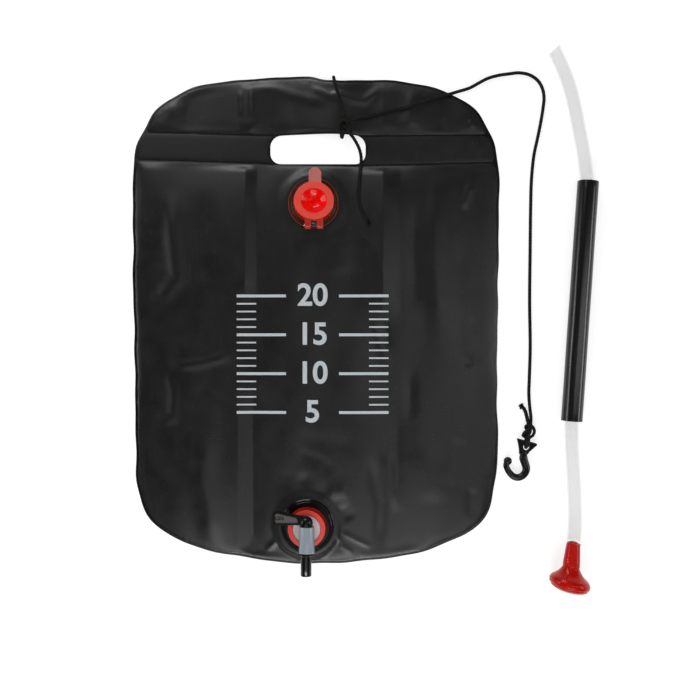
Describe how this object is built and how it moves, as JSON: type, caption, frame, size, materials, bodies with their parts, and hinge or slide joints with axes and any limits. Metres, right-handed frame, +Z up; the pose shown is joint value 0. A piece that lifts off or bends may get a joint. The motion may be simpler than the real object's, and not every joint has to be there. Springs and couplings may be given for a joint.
{
  "type": "camp shower bag",
  "caption": "Flat flexible water bag with a flip-cap filler, a lever tap, a hanging cord with hook, and a loose shower hose with a red bell-shaped head.",
  "frame": {"origin": "on the floor under the middle of the bag, which lies flat on its back", "axes": "+Z up, out of the bag's printed front; +Y along the bag toward the hand slot; +X to the right, toward the loose hose"},
  "size_m": [0.5284, 0.6091, 0.0466],
  "materials": {
    "back_panel": "soft black PVC film, fine linen-like emboss, satin",
    "front_panel": "soft black PVC film, fine linen-like emboss, satin, pale printed fill scale",
    "filler_base": "translucent dark red soft PVC",
    "filler_cap": "bright red soft PVC, gloss",
    "filler_hinge_pin": "plain steel",
    "tap_flange": "black, gloss",
    "tap_washer": "black rubber",
    "tap_body": "grey-blue, gloss",
    "tap_nut": "red, satin gloss",
    "tap_core": "black, gloss",
    "cord": "black braided polyester cord",
    "hook": "black, gloss",
    "hose": "clear PVC",
    "grip_sleeve": "black, satin",
    "shower_head": "deep red, gloss",
    "rose_plate": "deep red, gloss"
  },
  "bodies": {
    "bag": {"back_panel": "back_panel", "front_panel": "front_panel", "filler_base": "filler_base", "filler_hinge_pin": "filler_hinge_pin", "tap_flange": "tap_flange", "tap_washer": "tap_washer", "tap_body": "tap_body", "tap_nut": "tap_nut", "hang_loop": "cord", "hang_knot": "cord", "hang_tail": "cord", "hang_cord": "cord", "hook_knot": "cord", "hook_loop": "cord", "hook_tail": "cord"},
    "filler_cap": {"filler_cap": "filler_cap"},
    "tap_core": {"tap_core": "tap_core"},
    "hook": {"hook": "hook"},
    "hose_set": {"hose": "hose", "shower_head": "shower_head", "rose_plate": "rose_plate"},
    "grip_sleeve": {"grip_sleeve": "grip_sleeve"}
  },
  "joints": [
    {"name": "filler_hinge", "type": "hinge", "parent": "bag", "child": "filler_cap", "pos_m": [-0.0025, 0.1059, 0.0167], "axis": [1, 0, 0], "range_deg": [0, 165]},
    {"name": "tap_turn", "type": "hinge", "parent": "bag", "child": "tap_core", "pos_m": [-0.0095, -0.2293, 0.037], "axis": [0, 1, 0], "range_deg": [0, 180]},
    {"name": "hook_swing", "type": "hinge", "parent": "bag", "child": "hook", "pos_m": [0.2386, -0.1442, 0.0048], "axis": [0, 0, 1], "range_deg": [-20, 20]},
    {"name": "hose_lift", "type": "slide", "parent": "bag", "child": "hose_set", "axis": [0, 0, 1], "range_m": [0, 0.25]},
    {"name": "sleeve_slide", "type": "slide", "parent": "hose_set", "child": "grip_sleeve", "axis": [0.0687, 0.9976, 0], "range_m": [-0.024, 0]}
  ]
}
